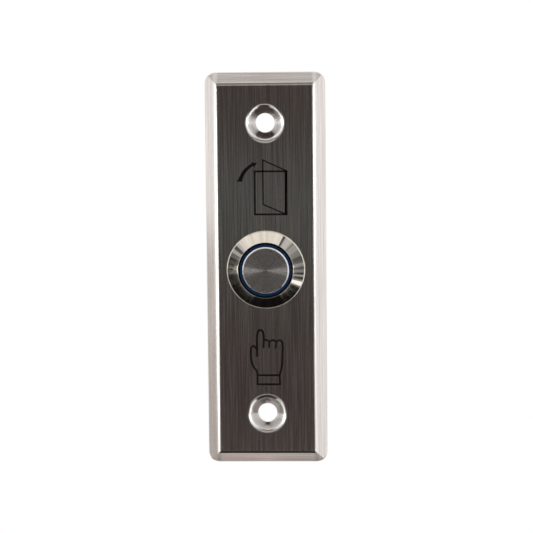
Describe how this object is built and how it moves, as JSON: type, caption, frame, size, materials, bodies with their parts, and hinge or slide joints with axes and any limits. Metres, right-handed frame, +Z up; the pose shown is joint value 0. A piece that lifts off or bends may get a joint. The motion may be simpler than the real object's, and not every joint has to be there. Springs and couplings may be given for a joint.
{
  "type": "pushbutton",
  "caption": "Door-release pushbutton: narrow bevelled steel plate with a ring-lit metal button between two countersunk screw holes, and its switch body and terminals behind.",
  "frame": {"origin": "on the wall plane, at the centre of the faceplate and on the button's axis, midway between the two screw holes", "axes": "+X to the right seen from the front, +Z up, and -Y out of the wall: the button faces -Y and is pressed towards +Y"},
  "size_m": [0.028, 0.0318, 0.0914],
  "materials": {
    "plate_steel": "satin",
    "bezel_steel": "polished",
    "cap_steel": "satin",
    "ring_blue": "gloss",
    "seal_rubber": "matte",
    "spring_steel": "satin",
    "nut_plated": "satin",
    "carrier_white": "satin",
    "contact_metal": "satin",
    "board_green": "satin",
    "lamp_body": "gloss",
    "resistor_black": "matte",
    "housing_black": "satin",
    "base_blue": "satin"
  },
  "bodies": {
    "base": {"faceplate": "plate_steel", "flange_gasket": "seal_rubber", "switch_shell": "bezel_steel", "lock_washer": "spring_steel", "panel_nut": "nut_plated", "return_spring": "spring_steel", "lamp_board": "board_green", "lamp_1": "lamp_body", "lamp_2": "lamp_body", "lamp_3": "lamp_body", "lamp_4": "lamp_body", "lamp_resistor": "resistor_black", "rear_housing": "housing_black", "terminal_base": "base_blue", "terminal_common": "contact_metal", "terminal_normally_open": "contact_metal", "terminal_normally_closed": "contact_metal", "terminal_lamp_plus": "contact_metal", "terminal_lamp_minus": "contact_metal"},
    "button": {"button_cap": "cap_steel", "light_guide": "ring_blue", "plunger_seal": "seal_rubber", "retaining_clip": "spring_steel", "contact_carrier": "carrier_white", "wiper": "contact_metal"}
  },
  "joints": [
    {"name": "button_press", "type": "slide", "parent": "base", "child": "button", "axis": [0, 1, 0], "range_m": [0, 0.0025], "stiffness_N_per_m": 600, "springref_m": -0.0035, "deforming": ["return_spring"]}
  ]
}
